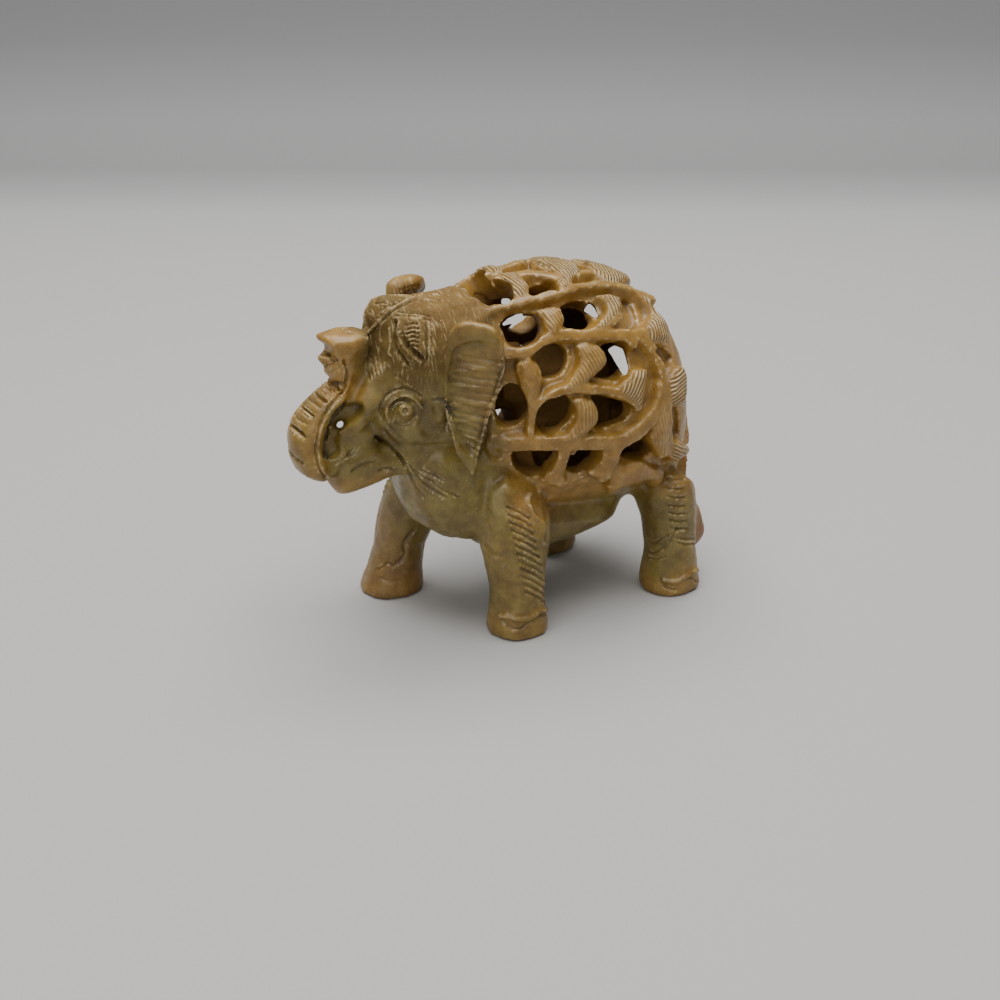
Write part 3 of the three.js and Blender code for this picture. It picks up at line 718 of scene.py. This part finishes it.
# The legs are round posts with a sharp back corner. Their outer sides are scored with slanting cuts of the knife,
# a ragged ridge runs down from the wall, and a few curved cuts mark the toes and the folds of the knee.
LEFT_FORE_CUTS = [(0.45, 9, [(948 + 7 * k, 1048 + 31 * k), (1000 + 7 * k, 1070 + 31 * k),
    (1040 + 9 * k - k * k // 4, 1094 + 31 * k)])
                  for k in range(12)]
LEFT_FORE_EDGES = [
    (-0.5, 13, [(1035, 1000), (1030, 1030), (1045, 1060), (1060, 1085), (1090, 1110), (1090, 1150), (1085, 1175),
        (1100, 1200)]),
    (-0.4, 9, [(1110, 1050), (1112, 1240)]),
    (-0.6, 14, [(925, 1482), (960, 1488), (1000, 1498), (1040, 1488), (1075, 1462), (1110, 1458)]),
    (0.45, 8, [(928, 1500), (960, 1528), (1000, 1536), (1022, 1520)]),
    (0.4, 8, [(1030, 1515), (1060, 1490), (1105, 1478)]),
    (0.3, 7, [(860, 1200), (890, 1230), (930, 1250)]),
]
LEFT_HIND_CUTS = [(0.45, 8, [(1592 + x, y), (1622 + x, y + 6), (1656 + x, y + 4)])
                  for x, y in ((0, 930), (0, 970), (2, 1005), (3, 1040), (5, 1070), (8, 1100), (12, 1130), (40, 1172),
                      (44, 1192))]
LEFT_HIND_EDGES = [
    (0.4, 8, [(1500, 1170), (1530, 1193), (1560, 1180), (1592, 1165)]),
        (0.35, 8, [(1505, 1215), (1530, 1233), (1572, 1210)]),
    (0.35, 8, [(1510, 1250), (1550, 1255), (1582, 1245)]), (0.4, 8, [(1600, 1190), (1620, 1148), (1642, 1135)]),
    (-0.6, 13, [(1575, 1340), (1620, 1348), (1660, 1325), (1700, 1300)]),
        (0.45, 8, [(1570, 1358), (1592, 1375), (1628, 1378)]),
    (0.4, 7, [(1664, 1322), (1684, 1336)]), (0.4, 7, [(1688, 1330), (1706, 1346)]),
]
RIGHT_FORE_CUTS = [
    (0.45, 9, [(575, 1145), (545, 1180), (535, 1205), (540, 1235), (520, 1265), (495, 1280), (470, 1272), (430, 1298)]),
    (0.3, 8, [(440, 1330), (480, 1345), (530, 1340)]), (0.3, 8, [(600, 1200), (640, 1215), (670, 1210)]),
]
FORE_STEP = (-245, 60)
HIND_STEP = (-215, 52)


def moved_over(cuts, step):
    """The same cuts on the far leg, which stands further forward."""
    return [(depth, width, [(x + step[0], y + step[1]) for x, y in line]) for depth, width, line in cuts]


def legs(places):
    return places[:, 2] < 26


sink(stone, legs, lines=LEFT_FORE_EDGES + LEFT_HIND_EDGES + RIGHT_FORE_CUTS, sides=(1,))
sink(stone, legs, lines=LEFT_FORE_CUTS + LEFT_HIND_CUTS, sides=(1,))
sink(stone, legs, lines=moved_over(LEFT_FORE_CUTS, FORE_STEP) + moved_over(LEFT_HIND_CUTS, HIND_STEP), sides=(-1,))

# The knife leaves an uneven skin: broad soft dents from the gouge, and small ones from the scraper. The soles stay
# flat, and loose crumbs are swept off at the end.
DENTS = [(5.0, 0.5), (2.0, 0.22), (0.9, 0.1)]  # how far apart, how deep
for size, depth in DENTS:
    pattern = bpy.data.textures.new("dents", "CLOUDS")
    pattern.noise_scale = size * MM
    denter = stone.modifiers.new("dents", "DISPLACE")
    denter.texture = pattern
    denter.strength = depth * MM
    apply_modifiers(stone)
places, _ = read_skin(stone)
places[:, 2] = np.maximum(places[:, 2], 0)
write_skin(stone, places)

MOST_TRIANGLES = 196_000
triangles = sum(len(face.vertices) - 2 for face in stone.data.polygons)
thinner = stone.modifiers.new("thin", "DECIMATE")
thinner.ratio = min(1.0, MOST_TRIANGLES / triangles)
apply_modifiers(stone)


def sweep_off_crumbs(piece):
    """Keeps the largest joined part of the mesh and takes off every loose crumb."""
    form = bmesh.new()
    form.from_mesh(piece.data)
    parts = []
    left = set(form.verts)
    while left:
        front = [left.pop()]
        part = list(front)
        while front:
            vert = front.pop()
            reached = [edge.other_vert(vert) for edge in vert.link_edges if edge.other_vert(vert) in left]
            left.difference_update(reached)
            front.extend(reached)
            part.extend(reached)
        parts.append(part)
    parts.sort(key=len)
    bmesh.ops.delete(form, geom=[vert for part in parts[:-1] for vert in part], context="VERTS")
    form.to_mesh(piece.data)
    form.free()


sweep_off_crumbs(stone)

# What the finish follows: edges paled as wear and as a painted highlight, hollows and the inside darkened as painted
# shade, the cut lines on the leaves, and how the stone's own colour changes from olive through honey to a reddish rump.


def edge_ends(piece):
    """The first and second vertex of each edge."""
    ends = np.empty(len(piece.data.edges) * 2, int)
    piece.data.edges.foreach_get("vertices", ends)
    return ends.reshape(-1, 2).T


def over_neighbours(piece, values, rounds):
    """Values at the vertices, each averaged with its neighbours as many times as asked."""
    start, end = edge_ends(piece)
    count = np.bincount(start, minlength=len(values)) + np.bincount(end, minlength=len(values)) + 1
    for _ in range(rounds):
        around = np.bincount(start, values[end], len(values)) + np.bincount(end, values[start], len(values))
        values = (values + around) / count
    return values


def bend(piece, places, facing):
    """How the skin bends at each vertex: above 0 on an edge, below 0 in a groove."""
    start, end = edge_ends(piece)
    run = places[end] - places[start]
    length = np.maximum(np.linalg.norm(run, axis=1), 1e-6)
    total = np.bincount(start, np.sum(-run * facing[start], axis=1) / length, len(places))
    total += np.bincount(end, np.sum(run * facing[end], axis=1) / length, len(places))
    count = np.bincount(start, minlength=len(places)) + np.bincount(end, minlength=len(places))
    return total / np.maximum(count, 1)


def note(piece, name, values):
    """Keeps values at the vertices under a name that the material reads."""
    layer = piece.data.attributes.new(name, "FLOAT", "POINT")
    layer.data.foreach_set("value", np.asarray(values, np.float32))


def leaf_lines(places, facing):
    """Millimetres across the cut lines of each leaf, and how strongly the leaf is cut there."""
    run = np.zeros(len(places))
    strength = np.zeros(len(places))
    height, _ = body_height(places)
    for outline, direction, boldness in all_leaves:
        if direction is None:
            continue
        middle, plane, out = flat_frame(outline)
        along = direction[1] - direction[0]
        across = np.cross(out, along)
        across /= np.linalg.norm(across)
        offset = places - middle
        near = np.flatnonzero((np.linalg.norm(offset, axis=1) < 9) & (np.abs(offset @ out) < 3) & (facing @ out > 0.2)
                              & (height > -0.6))
        inner = depth_inside(offset[near] @ plane, (outline - middle) @ plane)
        inside = boldness * ramp(inner, 0.05, 0.5)
        better = inside > strength[near]
        run[near[better]] = (offset[near] @ across)[better]
        strength[near[better]] = inside[better]
    return run, strength


places, facing = read_skin(stone)
height, _ = body_height(places)
bent = bend(stone, places, facing)
ahead, aside, above_ground = places[:, 0], np.abs(places[:, 1]), places[:, 2]
plain = np.maximum(ramp(ahead, 6, 10), 1 - ramp(above_ground, 22, 27))
# Convex edges, which the material paints pale, partly as wear and partly as a painted highlight.
note(stone, "worn_and_lit_edge", ramp(bent, 0.1 + 0.06 * plain, 0.28 + 0.1 * plain) * (1 - 0.45 * plain))
# Concave places, which the material darkens with the old wax colour as painted shade.
note(stone, "hollow", ramp(-over_neighbours(stone, bent, 3), 0.04, 0.2))
barrel = 1 - ramp(ahead, 3, 8)
# The depth inside the body, which the material darkens towards deep brown as painted shade.
note(stone, "inside", ramp(-height, 1.6, 4.2) * barrel * ramp(above_ground, 16, 22))
ear = ramp(aside, 9.5, 11.5) * ramp(ahead, 3, 8) * (1 - ramp(ahead, 14, 17)) * ramp(above_ground, 26, 30)
note(stone, "honey", np.max([
    barrel * ramp(above_ground, 17, 25),
    ramp(ahead, 25, 29) * ramp(above_ground, 43, 46),  # the trunk's top
    0.75 * ramp(above_ground, 53, 58) * (1 - ramp(ahead, 12, 22)),  # the crown
    0.5 * ramp(ahead, 32, 35),  # the trunk's front
    0.6 * ramp(ahead, 22, 26) * (1 - ramp(above_ground, 30, 33)) * ramp(above_ground, 26, 28),  # the jaw
    0.45 * (1 - ramp(above_ground, 2, 7)),  # the feet
    0.3 * ear * ramp(above_ground, 32, 44),
], axis=0))
note(stone, "reddish", np.maximum(
    ramp(-ahead, 31, 36) * (1 - ramp(above_ground, 24, 34)),
    0.3 * ramp(-places[:, 1], 4, 8) * ramp(ahead, 2, 6) * (1 - ramp(above_ground, 14, 24))))
note(stone, "matt", ramp(ahead, 2, 8) * ramp(above_ground, 44, 50) * (1 - ramp(ahead, 24, 28)) * (1 - ear))
run, strength = leaf_lines(places, facing)
note(stone, "line_run", run)
note(stone, "line_strength", strength)

stone.data.polygons.foreach_set("use_smooth", [True] * len(stone.data.polygons))

# Waxed soapstone: talc and chlorite, soft and fine, carved and then rubbed with wax and oil. It goes from olive green
# on the head and chest to honey brown on the back, cloudy and a little see-through. Hollows and grooves are darkened
# as painted shade, and edges are pale, partly as stone that handling has chipped and rubbed and partly as a painted
# highlight.


def linear(hex_colour):
    """An sRGB hex colour as linear red, green, blue and alpha."""
    channels = [int(hex_colour[i:i + 2], 16) / 255 for i in (1, 3, 5)]
    return [c / 12.92 if c <= 0.04045 else ((c + 0.055) / 1.055) ** 2.4 for c in channels] + [1.0]


def add_node(material, kind, inputs, **settings):
    """Adds one shader node with its settings; inputs maps an input's name or number to a node, output or value."""
    node = material.node_tree.nodes.new("ShaderNode" + kind)
    for key, value in settings.items():
        setattr(node, key, value)
    for key, value in inputs.items():
        if isinstance(value, bpy.types.Node):
            value = next(output for output in value.outputs if output.enabled)
        if isinstance(value, bpy.types.NodeSocket):
            material.node_tree.links.new(value, node.inputs[key])
        else:
            node.inputs[key].default_value = linear(value) if isinstance(value, str) else value
    return node


OLIVE, PALE_OLIVE = "#624f1d", "#817133"
HONEY, PALE_HONEY = "#876221", "#a8813c"
# The deep brown is painted shade for the inside.
REDDISH, INSIDE_PAINTED_SHADE, OLD_WAX_AND_SHADE, WORN_AND_HIGHLIGHT, DRY = "#875a33", "#7a5930", "#33240d", "#ead3a2", "#614a2c"
LINE_PITCH = 0.62

soapstone = bpy.data.materials.new("waxed_soapstone")
soapstone.use_nodes = True
spot = add_node(soapstone, "TexCoord", {}).outputs["Object"]
worn_and_lit_edge, hollow, inside, toward_honey, reddish, matt, line_run, line_strength = (
    add_node(soapstone, "Attribute", {}, attribute_name=name).outputs["Fac"]
    for name in ("worn_and_lit_edge", "hollow", "inside", "honey", "reddish", "matt", "line_run", "line_strength"))
broad, middling, small, grain, waver = (
    add_node(soapstone, "TexNoise",
             {"Vector": spot, "Scale": 1 / (size * MM), "Detail": detail, "Roughness": roughness})
    for size, detail, roughness in ((11, 4, 0.55), (3.2, 5, 0.6), (0.9, 4, 0.55), (0.22, 2, 0.55), (3, 2, 0.5)))
scraped = add_node(soapstone, "Mapping", {"Vector": spot, "Rotation": (0.3, 0.9, 0.4),
                   "Scale": (1 / (0.25 * MM), 1 / (2.5 * MM), 1 / (2.5 * MM))})
scratches = add_node(soapstone, "TexNoise", {"Vector": scraped, "Scale": 1.0, "Detail": 2})
clouds, drift, stain, specks, edge_breakup, kept, crystals, scratches, smear = (
    add_node(soapstone, "MapRange",
             {"Value": noise, "From Min": start, "From Max": end, "To Min": low, "To Max": high},
             interpolation_type="SMOOTHSTEP")
    for noise, start, end, low, high in (
        (middling, 0.3, 0.72, 0, 1), (broad, 0.3, 0.7, -0.28, 0.28), (broad, 0.3, 0.6, 0, 1),
        (small, 0.3, 0.75, 0, 0.16), (small, 0.34, 0.6, 0.15, 0.8), (middling, 0.35, 0.5, 0.3, 1),
        (grain, 0.64, 0.74, 0, 0.35), (scratches, 0.58, 0.7, 0, 0.28), (small, 0.3, 0.7, 0.28, 0.44)))

# The cut lines of the leaves, which waver a little as the knife did, and the edges outside the hollow, which are
# paled as wear and as a painted highlight.
waver = add_node(soapstone, "Math", {0: waver, 1: 0.5, 2: line_run}, operation="MULTIPLY_ADD")
wave = add_node(soapstone, "Math", {0: waver, 1: 2 * math.pi / LINE_PITCH}, operation="MULTIPLY")
wave = add_node(soapstone, "Math", {0: wave}, operation="SINE")
# The cut lines are pale on their ridges and darkened in their grooves; the dark in the grooves is painted shade.
lines = add_node(soapstone, "Math", {0: kept, 1: line_strength}, operation="MULTIPLY")
lines = add_node(soapstone, "Math", {0: lines, 1: wave}, operation="MULTIPLY")
outside = add_node(soapstone, "Math", {0: 1.0, 1: inside}, operation="SUBTRACT")
outer_edge = add_node(soapstone, "Math", {0: worn_and_lit_edge, 1: outside}, operation="MULTIPLY")

# Two clouded colours that pass into each other. Over them lie a reddish stain, dry wax, painted shade on the inside,
# specks of old wax, painted shade in the hollows, edges paled as wear and as a painted highlight, the cut lines with
# painted shade in their grooves, pale crystals, and scratches where the wax has gone.
olive = add_node(soapstone, "Mix", {"Factor": clouds, 6: OLIVE, 7: PALE_OLIVE}, data_type="RGBA")
honey = add_node(soapstone, "Mix", {"Factor": clouds, 6: HONEY, 7: PALE_HONEY}, data_type="RGBA")
toward_honey = add_node(soapstone, "Math", {0: toward_honey, 1: drift}, operation="ADD", use_clamp=True)
colour = add_node(soapstone, "Mix", {"Factor": toward_honey, 6: olive, 7: honey}, data_type="RGBA")
# The old wax colour darkens real specks, and also paints shade in the hollows and in the grooves of the cut lines.
for first, second, tint in (
        (reddish, stain, REDDISH), (matt, 0.65, DRY), (inside, 0.8, INSIDE_PAINTED_SHADE), (specks, 1.0, OLD_WAX_AND_SHADE),
        (hollow, 0.72, OLD_WAX_AND_SHADE), (outer_edge, edge_breakup, WORN_AND_HIGHLIGHT), (lines, 0.5, WORN_AND_HIGHLIGHT), (lines, -0.5, OLD_WAX_AND_SHADE),
        (crystals, 1.0, WORN_AND_HIGHLIGHT), (scratches, matt, WORN_AND_HIGHLIGHT)):
    share = add_node(soapstone, "Math", {0: first, 1: second}, operation="MULTIPLY", use_clamp=True)
    colour = add_node(soapstone, "Mix", {"Factor": share, 6: colour, 7: tint}, data_type="RGBA")

# Fresh wax shines, and dry stone and the inside don't.
dull = add_node(soapstone, "Math", {0: matt, 1: inside}, operation="MAXIMUM")
shine = add_node(soapstone, "MapRange", {"Value": dull, "To Min": 0.5, "To Max": 0.15})
roughness = add_node(soapstone, "Math", {0: dull, 1: 0.35, 2: smear}, operation="MULTIPLY_ADD")
relief = add_node(soapstone, "Math", {0: grain, 1: 0.12}, operation="MULTIPLY")
for pattern, depth in ((small, 0.3), (lines, 0.7)):
    relief = add_node(soapstone, "Math", {0: pattern, 1: depth, 2: relief}, operation="MULTIPLY_ADD")
bump = add_node(soapstone, "Bump", {"Height": relief, "Strength": 0.8, "Distance": 0.25 * MM})
soapstone.node_tree.nodes.remove(soapstone.node_tree.nodes["Principled BSDF"])
surface = add_node(soapstone, "BsdfPrincipled", {
    "Base Color": colour, "Roughness": roughness, "IOR": 1.54, "Specular IOR Level": shine, "Normal": bump,
    "Subsurface Weight": 0.2, "Subsurface Radius": (1.0, 0.6, 0.25), "Subsurface Scale": 0.9 * MM})
soapstone.node_tree.links.new(surface.outputs["BSDF"], soapstone.node_tree.nodes["Material Output"].inputs["Surface"])
stone.data.materials.clear()
stone.data.materials.append(soapstone)
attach(stone, "root")
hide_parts("elephant")

# The photographer's table: a pale grey sheet, darkened in a band behind the elephant as painted shade, with soft light
# from above and a camera at the left front.
floor_form = bmesh.new()
bmesh.ops.create_grid(floor_form, x_segments=1, y_segments=1, size=2.0)
table_sheet = new_piece("table_sheet", floor_form)
sheet_grey = bpy.data.materials.new("pale_grey_sheet")
sheet_grey.use_nodes = True
SHEET_PAINTED_SHADE = [  # metres behind the elephant, with the tone of the sheet there, which darkens in a band behind it as painted shade
    (0.0, "#b1afac"), (0.22, "#b4b2af"), (0.28, "#b1b0ae"), (0.31, "#a3a2a1"), (0.35, "#959493"), (0.45, "#a3a3a2"),
    (0.7, "#aeadad"), (1.0, "#c8c7c7"),
]
sheet_place = add_node(sheet_grey, "TexCoord", {})
from_middle = add_node(sheet_grey, "VectorMath", {0: sheet_place.outputs["Object"], 1: (-0.5, -0.866, 0)},
                       operation="DOT_PRODUCT")
# The sheet's tone by distance behind the elephant: painted shade, darkest in a band behind it.
painted_sheet_shade = add_node(sheet_grey, "ValToRGB", {"Fac": from_middle.outputs["Value"]})
for place, tone in SHEET_PAINTED_SHADE[1:-1]:
    painted_sheet_shade.color_ramp.elements.new(place)
for stop, (place, tone) in zip(painted_sheet_shade.color_ramp.elements, SHEET_PAINTED_SHADE):
    stop.position = place
    stop.color = linear(tone)
sheet_face = sheet_grey.node_tree.nodes["Principled BSDF"]
sheet_grey.node_tree.links.new(painted_sheet_shade.outputs["Color"], sheet_face.inputs["Base Color"])
sheet_face.inputs["Roughness"].default_value = 0.8
table_sheet.data.materials.append(sheet_grey)


def lamp(name, watts, size, place):
    """A soft square lamp aimed at the middle of the elephant."""
    light = bpy.data.lights.new(name, "AREA")
    light.energy = watts
    light.size = size
    holder = bpy.data.objects.new(name, light)
    holder.location = Vector(place)
    holder.rotation_euler = (Vector(LAMP_AIM) - Vector(place)).to_track_quat("-Z", "Y").to_euler()
    bpy.context.scene.collection.objects.link(holder)


LAMP_AIM = (0, 0, 0.03)
lamp("soft_overhead", 6.4, 0.6, (-0.02, -0.04, 0.6))
lamp("soft_front", 1.1, 0.5, (0.45, 0.35, 0.4))
world = bpy.data.worlds.new("room")
bpy.context.scene.world = world
world.use_nodes = True
world.node_tree.nodes["Background"].inputs["Color"].default_value = linear("#f2f3f4")
world.node_tree.nodes["Background"].inputs["Strength"].default_value = 0.33

camera = bpy.data.objects.new("camera", bpy.data.cameras.new("camera"))
camera.data.lens = LENS_PIXELS * camera.data.sensor_width / 1000
camera.data.clip_start = 0.01
camera.location = Vector(EYE * MM)
camera.rotation_euler = Vector(-BACK).to_track_quat("-Z", "Y").to_euler()
bpy.context.scene.collection.objects.link(camera)
bpy.context.scene.camera = camera
